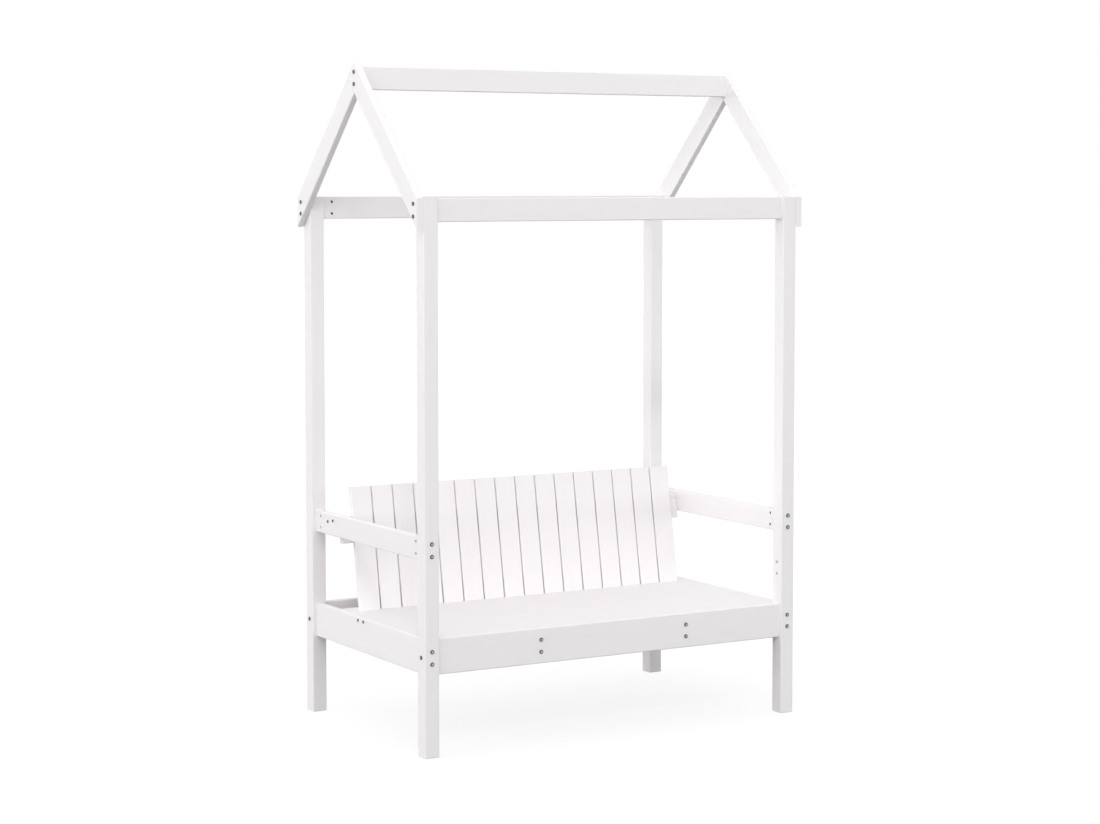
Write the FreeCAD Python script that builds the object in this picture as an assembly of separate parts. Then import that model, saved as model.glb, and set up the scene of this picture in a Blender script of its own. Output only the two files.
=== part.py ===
import FreeCAD, Part
import math
import os

from FreeCAD import Vector

# A garden arbour seat: a bench between four corner posts, under an open pitched roof frame.
# X runs from left to right as seen by someone who faces the seat, Y from front to back, Z up.
# The origin lies on the ground, in the middle of the frame. Sizes are in millimetres.

# Overall frame
frame_width = 1254.0
frame_depth = 778.0
post_height = 1558.0
ridge_height = 1945.0

# Timber stock
post_side = 45.0
post_arris = 3.0
post_foot_bevel = 1.5
board_thickness = 20.0
board_width = 66.0
board_arris = 2.0

# Seat
seat_height = 332.0
seat_beam_height = 101.0
seat_board_count = 5
seat_board_arris = 0.4
seat_rear_gap = 145.0
seat_notch_clearance = 0.6
joist_spacing = 494.0

# Arm rails
arm_top_height = 616.0

# Back rest
back_lean = 10.0
back_foot_setback = 63.0
slat_end_room = 5.0
slat_width = 66.0
slat_thickness = 14.5
slat_length = 369.0
slat_gap = 4.5
slat_arris = 1.5
ledge_above_arm_middle = 9.6
rail_end_clearance = 0.8
upper_rail_width = 60.0
lower_rail_inset = 33.0

# Roof
rafter_width = 64.0
ridge_beam_drop = 13.5

# Bolts with low bevelled heads and hexagon sockets. Fasteners and their holes are drawn with a few
# flats instead of a full round, which keeps some hundred small forms light.
shank_flat_count = 6
head_flat_count = 8
socket_flat_count = 6
bolt_diameter = 6.0
bolt_head_diameter = 12.5
bolt_head_height = 3.3
bolt_head_bevel = 1.7
bolt_socket_width = 4.0
bolt_socket_depth = 2.0
bolt_hole_diameter = 7.0
bolt_end_room = 3.0
bolt_pair_spacing = 35.0

# Barrel nuts, which lie across the end of each bolted board
nut_diameter = 8.0
nut_length = 15.0
nut_setback = 33.0
nut_fit = 0.3
nut_thread_fit = 0.2

# Wood screws
screw_diameter = 4.5
screw_head_diameter = 9.0
screw_head_height = 2.6
screw_head_bevel = 1.4
screw_length = 60.0
screw_hole_fit = 0.2

# Spare drilled holes in the inner sides of the front posts
spare_hole_diameter = 5.5
spare_hole_depth = 12.0
spare_hole_height = 441.5

# Lines that the pieces share
half_width = frame_width / 2
half_depth = frame_depth / 2
post_x = half_width - post_side / 2
post_y = half_depth - post_side / 2
half_board = board_thickness / 2
side_inner_x = post_x - half_board
front_inner_y = -post_y + half_board
seat_bolt_height = seat_height - seat_beam_height / 2
arm_bolt_height = arm_top_height - board_width / 2
eaves_bolt_height = post_height - board_width / 2
pair = (-bolt_pair_spacing / 2, bolt_pair_spacing / 2)

LEFT, RIGHT = -1, 1
FRONT, REAR = -1, 1
SIDES = {"left": LEFT, "right": RIGHT}
ENDS = {"front": FRONT, "rear": REAR}
ALONG_X = Vector(1, 0, 0)
ALONG_Y = Vector(0, 1, 0)
ALONG_Z = Vector(0, 0, 1)

pieces = {}


def edges_along(shape, direction):
    """Straight edges of a shape that run parallel to a direction."""
    found = []
    for edge in shape.Edges:
        run = edge.Vertexes[-1].Point - edge.Vertexes[0].Point
        if run.Length > 1e-6 and run.cross(direction).Length < 1e-6 * run.Length:
            found.append(edge)
    return found


def box_between(x_range, y_range, z_range):
    low = Vector(x_range[0], y_range[0], z_range[0])
    size = Vector(x_range[1], y_range[1], z_range[1]) - low
    return Part.makeBox(size.x, size.y, size.z, low)


def board(x_range, y_range, z_range, grain, arris):
    """A planed board whose four edges along the grain are eased by a small bevel."""
    block = box_between(x_range, y_range, z_range)
    return block.makeChamfer(arris, edges_along(block, grain))


def about(centre, size):
    """The range of a given size around a centre."""
    return centre - size / 2, centre + size / 2


def aimed(shape, point, direction):
    """Turns a shape that was made along +Z to a direction and moves it to a point."""
    placed = shape.copy()
    placed.Placement = FreeCAD.Placement(point, FreeCAD.Rotation(ALONG_Z, direction))
    return placed


def prism(flat_count, diameter, low, high):
    """A regular prism along Z, of the given number of flats and size across them."""
    step = math.pi / flat_count
    radius = diameter / 2 / math.cos(step)
    turns = [(2 * corner + 1) * step for corner in range(flat_count + 1)]
    outline = Part.makePolygon([Vector(radius * math.cos(t), radius * math.sin(t), low) for t in turns])
    return Part.Face(outline).extrude(Vector(0, 0, high - low))


def bar(diameter, length, base, direction):
    """A fastener's shank, or the drill for its hole, from a point along a direction."""
    return aimed(prism(shank_flat_count, diameter, 0, length), base, direction)


def drill(names, diameter, depth, start, direction):
    """Bores one straight hole through each named piece."""
    bit = bar(diameter, depth, start, direction)
    for name in names:
        pieces[name] = pieces[name].cut(bit)


def head_shape(diameter, height, bevel):
    """A head that stands on the plane z = 0 and rises towards -Z, bevelled round its crown."""
    blank = prism(head_flat_count, diameter, -height, 0)
    crown = [edge for edge in blank.Edges if edge.BoundBox.ZMax < -height / 2]
    return blank.makeChamfer(bevel, crown)


def bolt_shape(grip):
    """A bolt along +Z whose head bears on z = 0 and which reaches past its barrel nut."""
    length = grip + nut_setback + nut_diameter / 2 + bolt_end_room
    head = head_shape(bolt_head_diameter, bolt_head_height, bolt_head_bevel)
    socket_floor = bolt_socket_depth - bolt_head_height
    socket = prism(socket_flat_count, bolt_socket_width, -bolt_head_height, socket_floor)
    return head.cut(socket).fuse(prism(shank_flat_count, bolt_diameter, 0, length)).removeSplitter()


def screw_shape():
    """A wood screw along +Z whose head bears on z = 0."""
    head = head_shape(screw_head_diameter, screw_head_height, screw_head_bevel)
    return head.fuse(prism(shank_flat_count, screw_diameter, 0, screw_length)).removeSplitter()


bolts = {}
nuts = []
screws = {}


def bolted(group, head, direction, through, last, nut_from):
    """Joins pieces by one bolt that ends in a barrel nut.

    The bolt passes the pieces named in through, whose thicknesses add up to its grip, and runs
    into the end grain of the last piece. The nut's hole is bored from the side nut_from, blind.
    """
    grip = sum(thickness for name, thickness in through)
    reach = grip + nut_setback + nut_diameter / 2 + 2 * bolt_end_room
    names = [name for name, thickness in through] + [last]
    drill(names, bolt_hole_diameter, reach, head, direction)
    centre = head + direction * (grip + nut_setback)
    mouth = centre + nut_from * half_board
    drill([last], nut_diameter + nut_fit, half_board + nut_length / 2 + nut_fit, mouth, -nut_from)
    nut = bar(nut_diameter, nut_length, centre - nut_from * (nut_length / 2), nut_from)
    thread_start = centre - direction * nut_diameter
    thread = bar(bolt_diameter + nut_thread_fit, nut_diameter * 2, thread_start, direction)
    nuts.append(nut.cut(thread))
    bolts.setdefault(group, []).append(aimed(bolt_shape(grip), head, direction))


def screwed(group, head, direction, names):
    """Joins pieces by one wood screw in a hole of its own size."""
    drill(names, screw_diameter + screw_hole_fit, screw_length + screw_hole_fit, head, direction)
    screws.setdefault(group, []).append(aimed(screw_shape(), head, direction))


# Corner posts

for end, y_sign in ENDS.items():
    for side, x_sign in SIDES.items():
        block = box_between(
            about(x_sign * post_x, post_side), about(y_sign * post_y, post_side), (0, post_height)
        )
        post = block.makeFillet(post_arris, edges_along(block, ALONG_Z))
        foot_rim = [edge for edge in post.Edges if edge.BoundBox.ZMax < post_foot_bevel]
        pieces[f"post_{end}_{side}"] = post.makeChamfer(post_foot_bevel, foot_rim)

# Seat beams, which close the bench frame between the posts

between_posts_x = (-half_width + post_side, half_width - post_side)
between_posts_y = (-half_depth + post_side, half_depth - post_side)
seat_beam_z = (seat_height - seat_beam_height, seat_height)

for end, y_sign in ENDS.items():
    pieces[f"seat_beam_{end}"] = board(
        between_posts_x, about(y_sign * post_y, board_thickness), seat_beam_z, ALONG_X, board_arris
    )
for side, x_sign in SIDES.items():
    pieces[f"seat_beam_{side}"] = board(
        about(x_sign * post_x, board_thickness), between_posts_y, seat_beam_z, ALONG_Y, board_arris
    )

# Joists, which run from the front seat beam to the rear one under the seat boards

joist_top = seat_height - board_thickness
joist_z = (joist_top - board_width, joist_top)

for side, x_sign in SIDES.items():
    pieces[f"seat_joist_{side}"] = board(
        about(x_sign * joist_spacing / 2, board_thickness),
        (front_inner_y, -front_inner_y),
        joist_z,
        ALONG_Y,
        board_arris,
    )

# Seat boards, laid from left to right, the first one notched round the front posts

seat_rear_y = -front_inner_y - seat_rear_gap
seat_board_width = (seat_rear_y - front_inner_y) / seat_board_count
seat_board_middle = {}

for number in range(1, seat_board_count + 1):
    front_edge = front_inner_y + (number - 1) * seat_board_width
    plank = board(
        (-side_inner_x, side_inner_x),
        (front_edge, front_edge + seat_board_width),
        (joist_top, seat_height),
        ALONG_X,
        seat_board_arris,
    )
    if number == 1:
        reach = post_side + seat_notch_clearance
        for x_sign in SIDES.values():
            corner_x = min(x_sign * half_width, x_sign * (half_width - reach))
            corner = Vector(corner_x, -half_depth, joist_top)
            plank = plank.cut(Part.makeBox(reach, reach, board_thickness, corner))
    pieces[f"seat_board_{number}"] = plank
    seat_board_middle[number] = front_edge + seat_board_width / 2

# Arm rails between the front and rear posts

for side, x_sign in SIDES.items():
    pieces[f"arm_rail_{side}"] = board(
        about(x_sign * post_x, board_thickness),
        between_posts_y,
        (arm_top_height - board_width, arm_top_height),
        ALONG_Y,
        board_arris,
    )

# Eaves beams and ridge beam

for end, y_sign in ENDS.items():
    pieces[f"eaves_beam_{end}"] = board(
        between_posts_x,
        about(y_sign * post_y, board_thickness),
        (post_height - board_width, post_height),
        ALONG_X,
        board_arris,
    )

ridge_beam_top = ridge_height - ridge_beam_drop
pieces["ridge_beam"] = board(
    (-half_width, half_width),
    about(0, board_thickness),
    (ridge_beam_top - board_width, ridge_beam_top),
    ALONG_X,
    board_arris,
)

# Rafters. Each pair meets at the ridge in a halved joint: the front rafter keeps its outer half and
# the rear one its inner half, and each half ends along the other rafter's top edge. An outline lists
# points as distance from the ridge line towards the rafter's own foot, and height.

roof_rise = ridge_height - post_height
pitch = math.atan2(roof_rise, half_depth)
plumb_depth = rafter_width / math.cos(pitch)
lap_reach = plumb_depth / 2 / math.tan(pitch)
lap_height = ridge_height - plumb_depth / 2
foot_cut = [(half_depth, post_height - plumb_depth), (half_depth, post_height)]
lapped_half = foot_cut + [(0, ridge_height), (-lap_reach, lap_height)]
shouldered_half = foot_cut + [(lap_reach, lap_height), (0, ridge_height - plumb_depth)]


def rafter_layer(outline, y_sign, near_x, far_x):
    points = [Vector(near_x, y_sign * run, height) for run, height in outline]
    return Part.Face(Part.makePolygon(points + points[:1])).extrude(Vector(far_x - near_x, 0, 0))


for side, x_sign in SIDES.items():
    inner, outer = x_sign * half_width, x_sign * (half_width + board_thickness)
    middle = (inner + outer) / 2
    for end, y_sign in ENDS.items():
        outer_half, inner_half = lapped_half, shouldered_half
        if y_sign == REAR:
            outer_half, inner_half = inner_half, outer_half
        rafter = rafter_layer(outer_half, y_sign, outer, middle)
        rafter = rafter.fuse(rafter_layer(inner_half, y_sign, middle, inner)).removeSplitter()
        sloping = edges_along(rafter, Vector(0, -y_sign * half_depth, roof_rise))
        outside = [edge for edge in sloping if abs(edge.CenterOfMass.x - middle) > half_board / 2]
        pieces[f"rafter_{end}_{side}"] = rafter.makeChamfer(board_arris, outside)

# Back rest. Its pieces are drawn in the leaning plane: u runs up the slats' front face from the
# seat, v runs backwards, square to it.

lean = math.radians(back_lean)
back_foot_y = seat_rear_y - back_foot_setback
up_slat = Vector(0, math.sin(lean), math.cos(lean))
behind_slat = Vector(0, math.cos(lean), -math.sin(lean))
back_foot = Vector(0, back_foot_y, seat_height)


def leaning_board(x_range, u_range, v_range, arris):
    """A board of the back rest with edges along X, given by its ranges along u and v."""
    blank = board(x_range, v_range, u_range, ALONG_X, arris)
    return leaned(blank)


def leaned(blank):
    placed = blank.copy()
    placed.rotate(Vector(0, 0, 0), ALONG_X, -back_lean)
    placed.translate(back_foot)
    return placed


slat_pitch = slat_width + slat_gap
slat_count = int((2 * (side_inner_x - slat_end_room) + slat_gap) // slat_pitch)
panel_half = (slat_count * slat_width + (slat_count - 1) * slat_gap) / 2
slat_foot_room = slat_thickness * math.tan(lean)
below_seat = Part.makeBox(frame_width, frame_depth, seat_height, Vector(-half_width, -half_depth, 0))

for number in range(1, slat_count + 1):
    left = -panel_half + (number - 1) * slat_pitch
    blank = board(
        (left, left + slat_width),
        (0, slat_thickness),
        (-slat_foot_room, slat_length),
        ALONG_Z,
        slat_arris,
    )
    pieces[f"back_slat_{number:02d}"] = leaned(blank).cut(below_seat)

# The arm rails carry the ledge, so its height follows from theirs
ledge_v = slat_thickness + board_width / 2
ledge_rise = arm_bolt_height + ledge_above_arm_middle - seat_height
ledge_u = (ledge_rise + ledge_v * math.sin(lean)) / math.cos(lean)
upper_rail_top = ledge_u - half_board
rail_back = slat_thickness + board_thickness
rail_ends = (-side_inner_x + rail_end_clearance, side_inner_x - rail_end_clearance)
lower_rail_foot = rail_back * math.tan(lean)

pieces["back_rail_upper"] = leaning_board(
    rail_ends,
    (upper_rail_top - upper_rail_width, upper_rail_top),
    (slat_thickness, rail_back),
    board_arris,
)
pieces["back_rail_ledge"] = leaning_board(
    rail_ends,
    (upper_rail_top, upper_rail_top + board_thickness),
    (slat_thickness, slat_thickness + board_width),
    board_arris,
)
pieces["back_rail_lower"] = leaning_board(
    (-panel_half + lower_rail_inset, panel_half - lower_rail_inset),
    (lower_rail_foot, lower_rail_foot + board_width),
    (slat_thickness, rail_back),
    board_arris,
)

# Bolted corner joints. The bolts along Y come in pairs and pass above and below the single bolt
# along X that ends in the front or rear seat beam.

for end, y_sign in ENDS.items():
    for side, x_sign in SIDES.items():
        post = (f"post_{end}_{side}", post_side)
        rafter_face_x = x_sign * (half_width + board_thickness)
        inward_y = Vector(0, -y_sign, 0)
        inward_x = Vector(-x_sign, 0, 0)
        for offset in pair:
            bolted(
                "arm_rail_bolts",
                Vector(x_sign * post_x, y_sign * half_depth, arm_bolt_height + offset),
                inward_y,
                [post],
                f"arm_rail_{side}",
                -ALONG_X,
            )
            bolted(
                "side_seat_beam_bolts",
                Vector(x_sign * post_x, y_sign * half_depth, seat_bolt_height + offset),
                inward_y,
                [post],
                f"seat_beam_{side}",
                inward_x,
            )
            bolted(
                "rafter_foot_bolts",
                Vector(rafter_face_x, y_sign * post_y, eaves_bolt_height + offset),
                inward_x,
                [(f"rafter_{end}_{side}", board_thickness), post],
                f"eaves_beam_{end}",
                inward_y,
            )
        bolted(
            "long_seat_beam_bolts",
            Vector(x_sign * half_width, y_sign * post_y, seat_bolt_height),
            inward_x,
            [post],
            f"seat_beam_{end}",
            inward_y,
        )

# Joists to the front and rear seat beams

for side, x_sign in SIDES.items():
    for end, y_sign in ENDS.items():
        outer_y = y_sign * (post_y + half_board)
        for offset in pair:
            bolted(
                "joist_bolts",
                Vector(x_sign * joist_spacing / 2, outer_y, seat_bolt_height + offset),
                Vector(0, -y_sign, 0),
                [(f"seat_beam_{end}", board_thickness)],
                f"seat_joist_{side}",
                Vector(-x_sign, 0, 0),
            )

# Ridge: two bolts on the centre line hold both halves of the joint to the end of the ridge beam

ridge_bolt_height = ridge_beam_top - board_width / 2

for side, x_sign in SIDES.items():
    for offset in pair:
        head = Vector(x_sign * (half_width + board_thickness), 0, ridge_bolt_height + offset)
        inward_x = Vector(-x_sign, 0, 0)
        halves = [(f"rafter_front_{side}", half_board), (f"rafter_rear_{side}", half_board)]
        bolted("ridge_bolts", head, inward_x, halves, "ridge_beam", ALONG_Y)

# Screws through the sides: into the last seat board but one, and into the ledge of the back rest

screwed_board = seat_board_count - 1
ledge_centre = back_foot + up_slat * ledge_u + behind_slat * ledge_v

for side, x_sign in SIDES.items():
    outer_x = x_sign * (post_x + half_board)
    inward_x = Vector(-x_sign, 0, 0)
    for offset in pair:
        screwed(
            "seat_board_screws",
            Vector(outer_x, seat_board_middle[screwed_board] + offset, seat_height - half_board),
            inward_x,
            [f"seat_beam_{side}", f"seat_board_{screwed_board}"],
        )
        screwed(
            "back_rail_screws",
            Vector(outer_x, ledge_centre.y, ledge_centre.z) + behind_slat * offset,
            inward_x,
            [f"arm_rail_{side}", "back_rail_ledge"],
        )

# Spare holes in the inner sides of the front posts

for side, x_sign in SIDES.items():
    outward_x = Vector(x_sign, 0, 0)
    for offset in pair:
        mouth = Vector(x_sign * (half_width - post_side), -post_y, spare_hole_height + offset)
        drill([f"post_front_{side}"], spare_hole_diameter, spare_hole_depth, mouth, outward_x)

for name, group in {**bolts, **screws, "barrel_nuts": nuts}.items():
    pieces[name] = Part.makeCompound(group)

os.makedirs("parts", exist_ok=True)
for name, shape in pieces.items():
    shape.exportStep(f"parts/{name}.step")
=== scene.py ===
import itertools
import math

import bmesh
import bpy
from mathutils import Matrix, Vector


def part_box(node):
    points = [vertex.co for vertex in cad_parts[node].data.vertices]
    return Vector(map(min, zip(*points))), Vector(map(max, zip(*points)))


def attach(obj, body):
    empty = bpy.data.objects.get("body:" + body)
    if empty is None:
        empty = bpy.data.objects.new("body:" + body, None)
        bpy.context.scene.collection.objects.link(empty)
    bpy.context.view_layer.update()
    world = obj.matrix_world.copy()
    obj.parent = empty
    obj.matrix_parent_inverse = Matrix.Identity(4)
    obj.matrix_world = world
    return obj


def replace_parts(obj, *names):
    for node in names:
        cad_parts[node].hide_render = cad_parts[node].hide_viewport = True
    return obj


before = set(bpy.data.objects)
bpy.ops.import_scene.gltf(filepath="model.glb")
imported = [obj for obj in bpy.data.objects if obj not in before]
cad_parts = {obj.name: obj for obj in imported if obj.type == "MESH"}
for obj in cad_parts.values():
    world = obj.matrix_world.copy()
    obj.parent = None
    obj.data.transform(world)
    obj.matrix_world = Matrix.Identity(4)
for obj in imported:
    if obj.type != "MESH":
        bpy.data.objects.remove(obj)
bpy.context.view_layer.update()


# Painted timber. Planed and sanded pine under two coats of satin white paint. Under the paint the
# grain still stands up as long low ridges, knots show as faint warm spots, and the brush leaves
# fine lines along each board.

PAINT_WHITE = (0.831, 0.811, 0.818, 1)
PAINT_OVER_GRAIN = (0.812, 0.786, 0.790, 1)
PAINT_OVER_KNOT = (0.78, 0.74, 0.70, 1)
PAINT_IOR = 1.47
PAINT_ROUGHNESS = 0.40
PAINT_RELIEF = 0.00022
PAINT_RELIEF_STRENGTH = 0.35
LOG_SPACING = 0.37
HEART_DEPTH = 0.035
HEART_RANGE_ACROSS = 0.022
HEART_RANGE_THROUGH = 0.030
HEART_STEP_ACROSS = 2.3
HEART_STEP_THROUGH = 1.7
RINGS_PER_METRE = 230.0
RING_DRIFT = 0.035
LATE_WOOD_RISE = (0.35, 0.85)
LATE_WOOD_FALL = (0.86, 1.0)
KNOT_EDGE = (0.05, 0.11)
DRIFT_STRETCH = (1.6, 9, 9)
FIBRE_STRETCH = (14, 620, 620)
BRUSH_STRETCH = (5, 1500, 1500)
KNOT_STRETCH = (3.4, 8, 8)
GRIT_SCALE = 900.0
CLOUD_SCALE = 7.0

ALONG_X, ALONG_Y, ALONG_Z = Vector((1, 0, 0)), Vector((0, 1, 0)), Vector((0, 0, 1))
board_numbers = itertools.count(1)


class Signal:
    """A socket in a material. Arithmetic on it adds Math nodes."""

    def __init__(self, tree, socket=None):
        self.tree = tree
        self.socket = socket

    def node(self, kind, values, output=0, **settings):
        """Adds a node, sets it up, feeds its inputs and returns one of its outputs."""
        made = self.tree.nodes.new(kind)
        for name, setting in settings.items():
            setattr(made, name, setting)
        for name, value in values.items():
            if isinstance(value, Signal):
                self.tree.links.new(value.socket, made.inputs[name])
            else:
                made.inputs[name].default_value = value
        return Signal(self.tree, made.outputs[output])

    def maths(self, operation, first, second=0.0):
        return self.node("ShaderNodeMath", {0: first, 1: second}, operation=operation)

    def __add__(self, other):
        return self.maths("ADD", self, other)

    def __radd__(self, other):
        return self.maths("ADD", other, self)

    def __sub__(self, other):
        return self.maths("SUBTRACT", self, other)

    def __rsub__(self, other):
        return self.maths("SUBTRACT", other, self)

    def __mul__(self, other):
        return self.maths("MULTIPLY", self, other)


def fresh_material(name):
    """A node material with a Principled shader. Returns it with its shader and a first signal."""
    material = bpy.data.materials.new(name)
    material.use_nodes = True
    tree = material.node_tree
    return material, tree.nodes["Principled BSDF"], Signal(tree)


def feed(shader, signals):
    """Links signals to the named inputs of a shader."""
    for name, signal in signals.items():
        signal.tree.links.new(signal.socket, shader.inputs[name])


def vector_parts(vector):
    """The X, Y and Z of a vector."""
    split = vector.tree.nodes.new("ShaderNodeSeparateXYZ")
    vector.tree.links.new(vector.socket, split.inputs[0])
    return [Signal(vector.tree, part) for part in split.outputs]


def stretched(place, factors):
    """A place with its axes multiplied, which draws a pattern out along the smallest factor."""
    return place.node("ShaderNodeVectorMath", {0: place, 1: factors}, operation="MULTIPLY")


def noise(place, scale, detail):
    """A cloudy pattern between 0 and 1."""
    return place.node("ShaderNodeTexNoise", {"Vector": place, "Scale": scale, "Detail": detail})


def blended(amount, first, second):
    """Mixes two colours."""
    return amount.node("ShaderNodeMix", {0: amount, 6: first, 7: second}, output=2, data_type="RGBA")


def faded(value, low, high):
    """Rises smoothly from 0 at low to 1 at high."""
    return value.node(
        "ShaderNodeMapRange",
        {"Value": value, "From Min": low, "From Max": high},
        interpolation_type="SMOOTHSTEP",
    )


def relief(height, strength, distance):
    """The normal of a surface with fine bumps."""
    return height.node("ShaderNodeBump", {"Height": height, "Strength": strength, "Distance": distance})


def painted_timber(node, grain):
    """White paint over pine whose grain runs along a direction, cut at its own place in a log."""
    material, shader, signal = fresh_material(f"satin_white_paint_{node}")
    low, high = (Vector(corner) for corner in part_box(node))
    turn = grain.rotation_difference(ALONG_X)
    middle = turn @ ((low + high) / 2)
    board_number = next(board_numbers)
    heart = Vector((
        LOG_SPACING * board_number,
        HEART_DEPTH + HEART_RANGE_ACROSS * math.sin(HEART_STEP_ACROSS * board_number),
        HEART_RANGE_THROUGH * math.cos(HEART_STEP_THROUGH * board_number),
    ))
    place = signal.node("ShaderNodeTexCoord", {}, output="Object")
    along = signal.node(
        "ShaderNodeMapping",
        {"Vector": place, "Location": heart - middle, "Rotation": turn.to_euler()},
    )

    # Growth rings: distance from the log's heart, which wanders slowly along the board
    drift = noise(stretched(along, DRIFT_STRETCH), 1.0, 2.0)
    _, across, through = vector_parts(along)
    radius = signal.maths("SQRT", across * across + through * through) + drift * RING_DRIFT
    ring = signal.maths("FRACT", radius * RINGS_PER_METRE)
    late_wood = faded(ring, *LATE_WOOD_RISE) - faded(ring, *LATE_WOOD_FALL)

    # Fibres and brush lines, both drawn out along the grain
    fibre = noise(stretched(along, FIBRE_STRETCH), 1.0, 3.0)
    brush = noise(stretched(along, BRUSH_STRETCH), 1.0, 2.0)
    grit = noise(along, GRIT_SCALE, 2.0)

    # Knots: sparse round spots, longer along the grain
    cell = signal.node("ShaderNodeTexVoronoi", {"Vector": stretched(along, KNOT_STRETCH), "Scale": 1.0})
    knot = 1.0 - faded(cell, *KNOT_EDGE)

    cloud = noise(along, CLOUD_SCALE, 2.0)
    colour = blended(late_wood * 0.45 + cloud * 0.3, PAINT_WHITE, PAINT_OVER_GRAIN)
    height = late_wood * 0.5 + fibre * 0.35 + brush * 0.2 + grit * 0.08 + knot * 0.4
    feed(shader, {
        "Base Color": blended(knot * 0.3, colour, PAINT_OVER_KNOT),
        "Roughness": PAINT_ROUGHNESS + fibre * 0.10 + cloud * 0.08,
        "Normal": relief(height, PAINT_RELIEF_STRENGTH, PAINT_RELIEF),
    })
    shader.inputs["IOR"].default_value = PAINT_IOR

    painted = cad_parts[node]
    if not painted.material_slots:
        painted.data.materials.append(material)
    for place_for_paint in painted.material_slots:
        place_for_paint.material = material


# Corner posts. Four square posts of 45 mm painted pine, with rounded arrises and a small bevel
# round the foot. The seat beams and the arm rails are bolted between them.

for end in ("front", "rear"):
    for side in ("left", "right"):
        painted_timber(f"post_{end}_{side}", ALONG_Z)


# Seat frame and seat. Four painted beams bolted between the posts, two joists bolted between the
# long beams, and five wide boards laid close on them from left to right.

SEAT_BOARD_COUNT = 5

for node, grain in (
    ("seat_beam_front", ALONG_X),
    ("seat_beam_rear", ALONG_X),
    ("seat_beam_left", ALONG_Y),
    ("seat_beam_right", ALONG_Y),
    ("seat_joist_left", ALONG_Y),
    ("seat_joist_right", ALONG_Y),
    *((f"seat_board_{number}", ALONG_X) for number in range(1, SEAT_BOARD_COUNT + 1)),
):
    painted_timber(node, grain)


# Arm rails. One painted board on each side, held between the front and the rear post by two bolts
# at each end.

for side in ("left", "right"):
    painted_timber(f"arm_rail_{side}", ALONG_Y)


# Back rest. Sixteen painted slats side by side, leaning back by ten degrees, screwed to an upper
# and a lower rail behind them. A ledge above the upper rail is screwed to the arm rails.

SLAT_COUNT = 16
BACK_LEAN = math.radians(10)
up_slat = Vector((0, math.sin(BACK_LEAN), math.cos(BACK_LEAN)))

for number in range(1, SLAT_COUNT + 1):
    painted_timber(f"back_slat_{number:02d}", up_slat)
for rail in ("upper", "ledge", "lower"):
    painted_timber(f"back_rail_{rail}", ALONG_X)


# Roof frame. Two eaves beams, a ridge beam and two pairs of rafters, all painted. The rafters are
# halved into each other at the ridge and bolted there and at their feet. Their grain follows the
# slope.

for beam in ("eaves_beam_front", "eaves_beam_rear", "ridge_beam"):
    painted_timber(beam, ALONG_X)
rafter_low, rafter_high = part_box("rafter_front_left")
slope = Vector((0, -rafter_low[1], rafter_high[2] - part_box("post_front_left")[1][2])).normalized()
for end, lean_sign in (("front", 1), ("rear", -1)):
    for side in ("left", "right"):
        painted_timber(f"rafter_{end}_{side}", Vector((0, lean_sign * slope.y, slope.z)))


# Bolts. Steel with a dark zinc finish and a lighter grey painted on the flat crown of the head as a
# painted highlight: a low domed head with a hexagon socket on a plain shank, driven through a post or a
# beam into a barrel nut. One is made for each group of bolts, then copied to every place where the
# imported model has one.

BOLT_HEAD_RADIUS = 0.00625
BOLT_HEAD_HEIGHT = 0.0033
BOLT_DOME = 0.0029
BOLT_HIGHLIGHT_RADIUS = BOLT_HEAD_RADIUS - BOLT_DOME
BOLT_SHANK_RADIUS = 0.003
BOLT_SOCKET_WIDTH = 0.004
BOLT_SOCKET_DEPTH = 0.002
ROUND_FACETS = 32
DOME_SEGMENTS = 5
SMOOTH_BELOW = math.radians(35)
OVERSHOOT = 0.001
TOUCHING = 0.00001
SCRATCH_SCALE = 2600.0
PATCH_SCALE = 420.0
ZINC_ROUGHNESS = 0.16
ZINC_RELIEF = 0.00004
ZINC_RELIEF_STRENGTH = 0.2


def zinc_steel(name, darkest, lightest):
    """Zinc coated steel with fine scratches and cloudy patches between two greys."""
    material, shader, signal = fresh_material(name)
    spot = signal.node("ShaderNodeTexCoord", {}, output="Object")
    scratches = noise(spot, SCRATCH_SCALE, 4.0)
    feed(shader, {
        "Base Color": blended(noise(spot, PATCH_SCALE, 2.0), darkest, lightest),
        "Roughness": ZINC_ROUGHNESS + scratches * 0.18,
        "Normal": relief(scratches, ZINC_RELIEF_STRENGTH, ZINC_RELIEF),
    })
    shader.inputs["Metallic"].default_value = 1.0
    return material


zinc = zinc_steel("dark_zinc_steel", (0.08, 0.08, 0.083, 1), (0.13, 0.13, 0.135, 1))
# The lighter zinc is the hole caps' own colour, and on the crowns of bolts and screws it is a painted
# highlight.
light_zinc_and_painted_highlight = zinc_steel("light_zinc_steel_and_painted_highlight", (0.44, 0.44, 0.45, 1), (0.58, 0.58, 0.59, 1))


def made_active(piece):
    """Selects one piece alone, for the next operator."""
    bpy.ops.object.select_all(action="DESELECT")
    piece.select_set(True)
    bpy.context.view_layer.objects.active = piece


def pick_flat(piece, kind, *heights):
    """In edit mode, selects only the faces or edges that lie level at one of some heights."""
    bpy.ops.mesh.select_all(action="DESELECT")
    mesh = bmesh.from_edit_mesh(piece.data)
    for part in getattr(mesh, kind):
        for height in heights:
            if all(abs(vertex.co.z - height) < TOUCHING for vertex in part.verts):
                part.select_set(True)
    bmesh.update_edit_mesh(piece.data)


def turned(radius, depth, middle_height, facets=ROUND_FACETS):
    """A new cylinder along Z as the active object, in edit mode."""
    bpy.ops.object.select_all(action="DESELECT")
    bpy.ops.mesh.primitive_cylinder_add(
        vertices=facets, radius=radius, depth=depth, location=(0, 0, middle_height)
    )
    bpy.ops.object.transform_apply()
    bpy.ops.object.mode_set(mode="EDIT")
    return bpy.context.object


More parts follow.
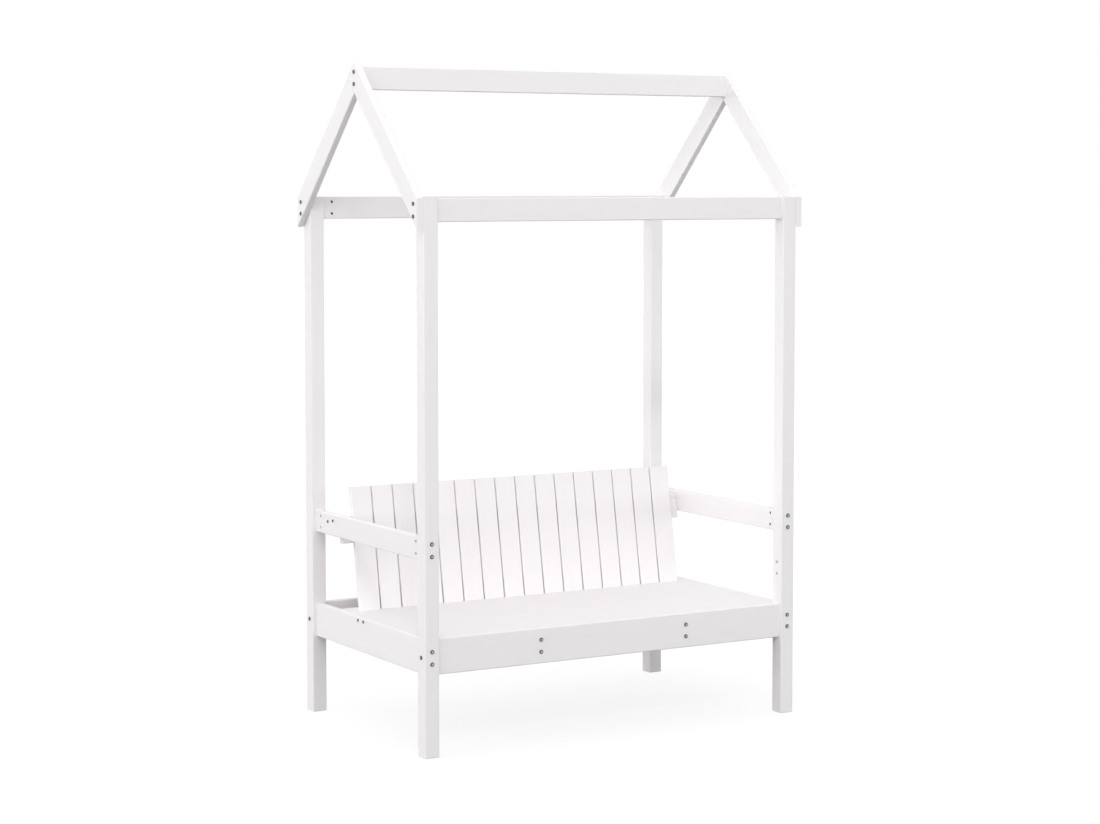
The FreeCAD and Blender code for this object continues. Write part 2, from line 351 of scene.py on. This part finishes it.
def block(size, middle_height):
    """A new box as the active object."""
    bpy.ops.object.select_all(action="DESELECT")
    bpy.ops.mesh.primitive_cube_add(size=1, location=(0, 0, middle_height))
    made = bpy.context.object
    made.scale = size
    bpy.ops.object.transform_apply()
    return made


def combined(piece, other, operation):
    """Merges a closed form into a piece with UNION, or takes it out with DIFFERENCE."""
    made_active(piece)
    step = piece.modifiers.new("step", "BOOLEAN")
    step.operation = operation
    step.solver = "EXACT"
    step.object = other
    bpy.ops.object.modifier_apply(modifier="step")
    bpy.data.objects.remove(other)


def headed(head_radius, head_height, dome, shank_radius, length):
    """A domed head that stands on z = 0 and rises towards -Z, with its shank along +Z."""
    piece = turned(head_radius, head_height, -head_height / 2)
    pick_flat(piece, "edges", -head_height)
    bpy.ops.mesh.bevel(offset=dome, segments=DOME_SEGMENTS, profile=0.5, affect="EDGES")
    pick_flat(piece, "faces", 0)
    bpy.ops.mesh.inset(thickness=head_radius - shank_radius)
    bpy.ops.mesh.extrude_region_move(TRANSFORM_OT_translate={"value": (0, 0, length)})
    bpy.ops.object.mode_set(mode="OBJECT")
    return piece


def hexagon_socket():
    """The form that a hexagon key leaves free in the head of a bolt."""
    across_corners = BOLT_SOCKET_WIDTH / math.cos(math.pi / 6)
    key = turned(
        across_corners / 2,
        BOLT_SOCKET_DEPTH + OVERSHOOT,
        -BOLT_HEAD_HEIGHT + (BOLT_SOCKET_DEPTH - OVERSHOOT) / 2,
        facets=6,
    )
    bpy.ops.object.mode_set(mode="OBJECT")
    return key


def squared_distance(point, axis):
    """Squared distance of a point from one of the main axes, without rounding noise."""
    return round(point.dot(point) - point[axis] ** 2, 9)


def fastener_places(node):
    """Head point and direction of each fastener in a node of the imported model, and their length."""
    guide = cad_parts[node].copy()
    guide.data = guide.data.copy()
    bpy.context.scene.collection.objects.link(guide)
    made_active(guide)
    bpy.ops.object.mode_set(mode="EDIT")
    bpy.ops.mesh.select_all(action="SELECT")
    bpy.ops.mesh.remove_doubles(threshold=TOUCHING)
    bpy.ops.mesh.separate(type="LOOSE")
    bpy.ops.object.mode_set(mode="OBJECT")
    places = []
    for part in list(bpy.context.selected_objects):
        corners = [vertex.co for vertex in part.data.vertices]
        low = Vector(min(corner[axis] for corner in corners) for axis in range(3))
        high = Vector(max(corner[axis] for corner in corners) for axis in range(3))
        axis = max(range(3), key=lambda number: (high - low)[number])
        middle = (low + high) / 2
        widest = max(corners, key=lambda corner: squared_distance(corner - middle, axis))
        direction = Vector((0, 0, 0))
        direction[axis] = 1 if widest[axis] < middle[axis] else -1
        head = middle.copy()
        head[axis] = (low if direction[axis] > 0 else high)[axis]
        places.append((head, direction))
        bpy.data.objects.remove(part)
    return places, (high - low)[axis]


def coated(piece, highlight_radius):
    """Coats a fastener with dark zinc, and with a lighter zinc within a radius of its axis as a painted
    highlight.
    """
    piece.data.materials.clear()
    piece.data.materials.append(zinc)
    piece.data.materials.append(light_zinc_and_painted_highlight)
    for face in piece.data.polygons:
        face.material_index = math.hypot(face.center.x, face.center.y) < highlight_radius


def copied_to(places, pattern, name):
    """Copies a fastener to each place and joins the copies to one piece of the seat."""
    copies = []
    for point, direction in places:
        copy = pattern.copy()
        copy.data = pattern.data.copy()
        turn = ALONG_Z.rotation_difference(direction).to_matrix().to_4x4()
        copy.data.transform(Matrix.Translation(point) @ turn)
        bpy.context.scene.collection.objects.link(copy)
        copies.append(copy)
    bpy.data.objects.remove(pattern)
    made_active(copies[0])
    for copy in copies:
        copy.select_set(True)
    bpy.ops.object.join()
    group = bpy.context.object
    group.name = name
    bpy.ops.object.shade_smooth_by_angle(angle=SMOOTH_BELOW)
    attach(group, "root")
    return group


for node in (
    "arm_rail_bolts",
    "side_seat_beam_bolts",
    "rafter_foot_bolts",
    "long_seat_beam_bolts",
    "joist_bolts",
    "ridge_bolts",
):
    places, length = fastener_places(node)
    shank_length = length - BOLT_HEAD_HEIGHT
    bolt = headed(BOLT_HEAD_RADIUS, BOLT_HEAD_HEIGHT, BOLT_DOME, BOLT_SHANK_RADIUS, shank_length)
    combined(bolt, hexagon_socket(), "DIFFERENCE")
    # The flat crown of each head gets the lighter zinc, a painted highlight.
    coated(bolt, BOLT_HIGHLIGHT_RADIUS)
    bolt.data.transform(Matrix.Translation((0, 0, BOLT_HEAD_HEIGHT)))
    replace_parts(copied_to(places, bolt, f"{node}_domed"), node)


# Wood screws through the side boards. The same steel, a smaller domed head with a cross recess,
# and a shank that narrows to a point inside the timber.

SCREW_HEAD_RADIUS = 0.0045
SCREW_HEAD_HEIGHT = 0.0026
SCREW_DOME = 0.0019
SCREW_HIGHLIGHT_RADIUS = SCREW_HEAD_RADIUS - SCREW_DOME
SCREW_SHANK_RADIUS = 0.00225
SCREW_TIP_LENGTH = 0.006
SCREW_TIP_SHARE = 0.15
SCREW_RECESS_WIDTH = 0.0009
SCREW_RECESS_ARM = 0.0042
SCREW_RECESS_DEPTH = 0.0016


def cross_recess(width, arm, depth, surface):
    """The form that a cross driver leaves free below a surface at the given height."""
    tall = depth + OVERSHOOT
    middle_height = surface + (depth - OVERSHOOT) / 2
    cross = block((arm, width, tall), middle_height)
    combined(cross, block((width, arm, tall), middle_height), "UNION")
    return cross


def pointed(piece, length):
    """Draws the end of a shank out to a point."""
    made_active(piece)
    bpy.ops.object.mode_set(mode="EDIT")
    pick_flat(piece, "faces", length)
    bpy.ops.mesh.extrude_region_move(TRANSFORM_OT_translate={"value": (0, 0, SCREW_TIP_LENGTH)})
    bpy.ops.transform.resize(value=(SCREW_TIP_SHARE, SCREW_TIP_SHARE, 1))
    bpy.ops.object.mode_set(mode="OBJECT")


for node in ("seat_board_screws", "back_rail_screws"):
    places, length = fastener_places(node)
    shank_length = length - SCREW_HEAD_HEIGHT - SCREW_TIP_LENGTH
    screw = headed(SCREW_HEAD_RADIUS, SCREW_HEAD_HEIGHT, SCREW_DOME, SCREW_SHANK_RADIUS, shank_length)
    pointed(screw, shank_length)
    recess = cross_recess(
        SCREW_RECESS_WIDTH, SCREW_RECESS_ARM, SCREW_RECESS_DEPTH, -SCREW_HEAD_HEIGHT
    )
    combined(screw, recess, "DIFFERENCE")
    # The flat crown of each head gets the lighter zinc, a painted highlight.
    coated(screw, SCREW_HIGHLIGHT_RADIUS)
    screw.data.transform(Matrix.Translation((0, 0, SCREW_HEAD_HEIGHT)))
    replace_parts(copied_to(places, screw, f"{node}_domed"), node)


# Barrel nuts. Short steel bars across the end of each bolted board, with a thread for the bolt
# and a slot in each end for turning them in line. They sit a little below the surface.

NUT_RADIUS = 0.004
NUT_LENGTH = 0.015
NUT_RIM = 0.0004
NUT_THREAD_RADIUS = 0.0031
NUT_THREAD_FACETS = 24
NUT_SLOT_WIDTH = 0.0012
NUT_SLOT_DEPTH = 0.0011
NUT_CUTTER_LENGTH = NUT_RADIUS * 3

nut = turned(NUT_RADIUS, NUT_LENGTH, NUT_LENGTH / 2)
pick_flat(nut, "edges", 0, NUT_LENGTH)
bpy.ops.mesh.bevel(offset=NUT_RIM, segments=2, affect="EDGES")
bpy.ops.object.mode_set(mode="OBJECT")
thread = turned(NUT_THREAD_RADIUS, NUT_CUTTER_LENGTH, 0, facets=NUT_THREAD_FACETS)
bpy.ops.object.mode_set(mode="OBJECT")
across_nut = Matrix.Rotation(math.pi / 2, 4, "X")
thread.data.transform(Matrix.Translation((0, 0, NUT_LENGTH / 2)) @ across_nut)
combined(nut, thread, "DIFFERENCE")
for slot_middle in (0, NUT_LENGTH):
    slot_cutter = block((NUT_CUTTER_LENGTH, NUT_SLOT_WIDTH, NUT_SLOT_DEPTH * 2), slot_middle)
    combined(nut, slot_cutter, "DIFFERENCE")
coated(nut, 0.0)
places, _ = fastener_places("barrel_nuts")
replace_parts(copied_to(places, nut, "barrel_nuts_slotted"), "barrel_nuts")


# Slat screws. Countersunk steel screws driven from behind through the upper and the lower rail of
# the back rest, two into each slat through each rail, with their flat heads about level with the
# wood.

SLAT_SCREW_HEAD_RADIUS = 0.0038
SLAT_SCREW_HEAD_DEPTH = 0.0026
SLAT_SCREW_HEAD_FACETS = 24
SLAT_SCREW_PROUD = 0.0003
SLAT_SCREW_SHANK_RADIUS = 0.0018
SLAT_SCREW_LENGTH = 0.026
SLAT_SCREW_RECESS_WIDTH = 0.0008
SLAT_SCREW_RECESS_ARM = 0.0038
SLAT_SCREW_RECESS_DEPTH = 0.0015
SLAT_SCREW_SPACING = 0.034
SLAT_SCREW_OFFSET = 0.014
RAIL_HALF_THICKNESS = 0.010
RAIL_END_MARGIN = 0.010

slat_screw = turned(
    SLAT_SCREW_HEAD_RADIUS,
    SLAT_SCREW_HEAD_DEPTH,
    SLAT_SCREW_HEAD_DEPTH / 2,
    facets=SLAT_SCREW_HEAD_FACETS,
)
pick_flat(slat_screw, "faces", SLAT_SCREW_HEAD_DEPTH)
taper = SLAT_SCREW_SHANK_RADIUS / SLAT_SCREW_HEAD_RADIUS
bpy.ops.transform.resize(value=(taper, taper, 1))
bpy.ops.mesh.extrude_region_move(TRANSFORM_OT_translate={"value": (0, 0, SLAT_SCREW_LENGTH)})
bpy.ops.object.mode_set(mode="OBJECT")
recess = cross_recess(SLAT_SCREW_RECESS_WIDTH, SLAT_SCREW_RECESS_ARM, SLAT_SCREW_RECESS_DEPTH, 0.0)
combined(slat_screw, recess, "DIFFERENCE")
# The middle of each flat head gets the lighter zinc, a painted highlight.
coated(slat_screw, SLAT_SCREW_SHANK_RADIUS)

into_slat = Vector((0, -math.cos(BACK_LEAN), math.sin(BACK_LEAN)))
slat_screw_places = []
for rail in ("back_rail_upper", "back_rail_lower"):
    rail_low, rail_high = (Vector(corner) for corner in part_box(rail))
    nearest, farthest = rail_low.x + RAIL_END_MARGIN, rail_high.x - RAIL_END_MARGIN
    rear_face = (rail_low + rail_high) / 2 - into_slat * (RAIL_HALF_THICKNESS + SLAT_SCREW_PROUD)
    for number in range(1, SLAT_COUNT + 1):
        slat_low, slat_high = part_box(f"back_slat_{number:02d}")
        for side_sign in (-1, 1):
            point = rear_face + up_slat * side_sign * SLAT_SCREW_SPACING / 2
            beside_middle = (slat_low[0] + slat_high[0]) / 2 + side_sign * SLAT_SCREW_OFFSET
            point.x = min(max(beside_middle, nearest), farthest)
            slat_screw_places.append((point, into_slat))
copied_to(slat_screw_places, slat_screw, "slat_screws")


# Hole caps. Low domed caps of bright zinc steel that close the spare holes in the inner sides of
# the front posts.

CAP_RADIUS = 0.0048
CAP_HEIGHT = 0.0012
CAP_DOME = 0.0009
CAP_STEM_RADIUS = 0.0025
CAP_STEM_LENGTH = 0.006
SPARE_HOLE_HEIGHTS = (0.424, 0.459)

cap = headed(CAP_RADIUS, CAP_HEIGHT, CAP_DOME, CAP_STEM_RADIUS, CAP_STEM_LENGTH)
coated(cap, CAP_RADIUS)
cap_places = []
for side, outward in (("left", -1), ("right", 1)):
    post_low, post_high = (Vector(corner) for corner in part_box(f"post_front_{side}"))
    inner_x = post_high.x if side == "left" else post_low.x
    for height in SPARE_HOLE_HEIGHTS:
        mouth = Vector((inner_x, (post_low.y + post_high.y) / 2, height))
        cap_places.append((mouth, Vector((outward, 0, 0))))
copied_to(cap_places, cap, "hole_caps")


# Studio. A pale floor that runs out to white behind the seat, and a white room with bright walls.
# The main light is a long tilted strip high at the front left, with a small hard lamp in its middle
# that draws the edges of near shadows. Broad soft lamps fill the left and the top.

WHITE = (1, 1, 1, 1)
FLOOR_SIZE = 60.0
FLOOR_HEIGHT = -0.0005
FLOOR_GREY = (0.19, 0.19, 0.19, 1)
FLOOR_ROUGHNESS = 0.9
FLOOR_SEEN = 0.83
FLOOR_GLOW = 0.03
ROOM_OVERHEAD = 0.61
ROOM_WALLS = 1.82
KEY_DISTANCE = 24.0
KEY_PLACE = Vector((-1.0, -2.44, 2.15)).normalized() * KEY_DISTANCE
KEY_LENGTH = 17.0
KEY_WIDTH = 1.6
KEY_LEVEL = 0.105
KEY_TILT = math.radians(22)


def seen_directly(signal):
    """1 for what the camera sees, also in a mirror, and 0 for the light that falls on the seat."""
    ray = signal.tree.nodes.new("ShaderNodeLightPath")
    seen = Signal(signal.tree, ray.outputs["Is Camera Ray"])
    for other in ("Is Glossy Ray", "Is Transmission Ray"):
        seen = signal.maths("MAXIMUM", seen, Signal(signal.tree, ray.outputs[other]))
    return seen


def aimed(name, data, place, roll=0.0):
    """A lamp at a place that shines on the middle of the floor, rolled about its beam."""
    lamp = bpy.data.objects.new(name, data)
    bpy.context.scene.collection.objects.link(lamp)
    lamp.location = place
    aim = (-place).to_track_quat("-Z", "Y").to_matrix()
    lamp.rotation_euler = (aim @ Matrix.Rotation(roll, 3, "Z")).to_euler()
    return lamp


bpy.ops.object.select_all(action="DESELECT")
bpy.ops.mesh.primitive_plane_add(size=FLOOR_SIZE, location=(0, 0, FLOOR_HEIGHT))
bpy.ops.object.transform_apply()
floor = bpy.context.object
floor.name = "floor"
floor_paint, floor_shader, signal = fresh_material("pale_floor")
floor_shader.inputs["Base Color"].default_value = FLOOR_GREY
floor_shader.inputs["Roughness"].default_value = FLOOR_ROUGHNESS
floor_shader.inputs["Specular IOR Level"].default_value = 0.0
floor_shader.inputs["Emission Color"].default_value = WHITE
floor_light = seen_directly(signal) * (FLOOR_SEEN - FLOOR_GLOW) + FLOOR_GLOW
feed(floor_shader, {"Emission Strength": floor_light})
floor.data.materials.append(floor_paint)

room = bpy.data.worlds.new("white_room")
bpy.context.scene.world = room
room.use_nodes = True
signal = Signal(room.node_tree)
towards = signal.node("ShaderNodeTexCoord", {}, output="Generated")
level = 1.0 - signal.maths("ABSOLUTE", vector_parts(towards)[2])
light = level * level * level * ROOM_WALLS + ROOM_OVERHEAD
seen = seen_directly(signal)
background = room.node_tree.nodes["Background"]
background.inputs["Color"].default_value = WHITE
feed(background, {"Strength": seen + (1.0 - seen) * light})

key_data = bpy.data.lights.new("key_strip", "AREA")
key_data.shape = "RECTANGLE"
key_data.size = KEY_LENGTH
key_data.size_y = KEY_WIDTH
key_data.energy = KEY_LEVEL * (math.pi * KEY_DISTANCE) ** 2
key = aimed("key_strip", key_data, KEY_PLACE, roll=KEY_TILT)
key.visible_camera = False

for name, place, angle, brightness in (
    ("key_core", KEY_PLACE, 4, 0.085),
    ("left_fill", Vector((-8.0, -1.2, 2.0)), 90, 0.39),
    ("top_fill", Vector((0.5, 3.0, 8.0)), 60, 0.10),
):
    lamp_data = bpy.data.lights.new(name, "SUN")
    lamp_data.energy = brightness * math.pi
    lamp_data.angle = math.radians(angle)
    aimed(name, lamp_data, place)


# Camera. It stands at eye height to the front left, with a long lens, and looks a little down. A
# small shift of the lens frames the seat as in the photograph.

camera_data = bpy.data.cameras.new("camera")
camera = bpy.data.objects.new("camera", camera_data)
bpy.context.scene.collection.objects.link(camera)
bpy.context.scene.camera = camera
camera.location = (-3.8342, -6.5513, 1.6019)
camera.rotation_euler = (math.radians(85.917), 0, math.radians(-30.355))
camera_data.sensor_width = 36
camera_data.lens = 82.75
camera_data.shift_y = -0.045

bpy.context.scene.view_settings.view_transform = "Standard"
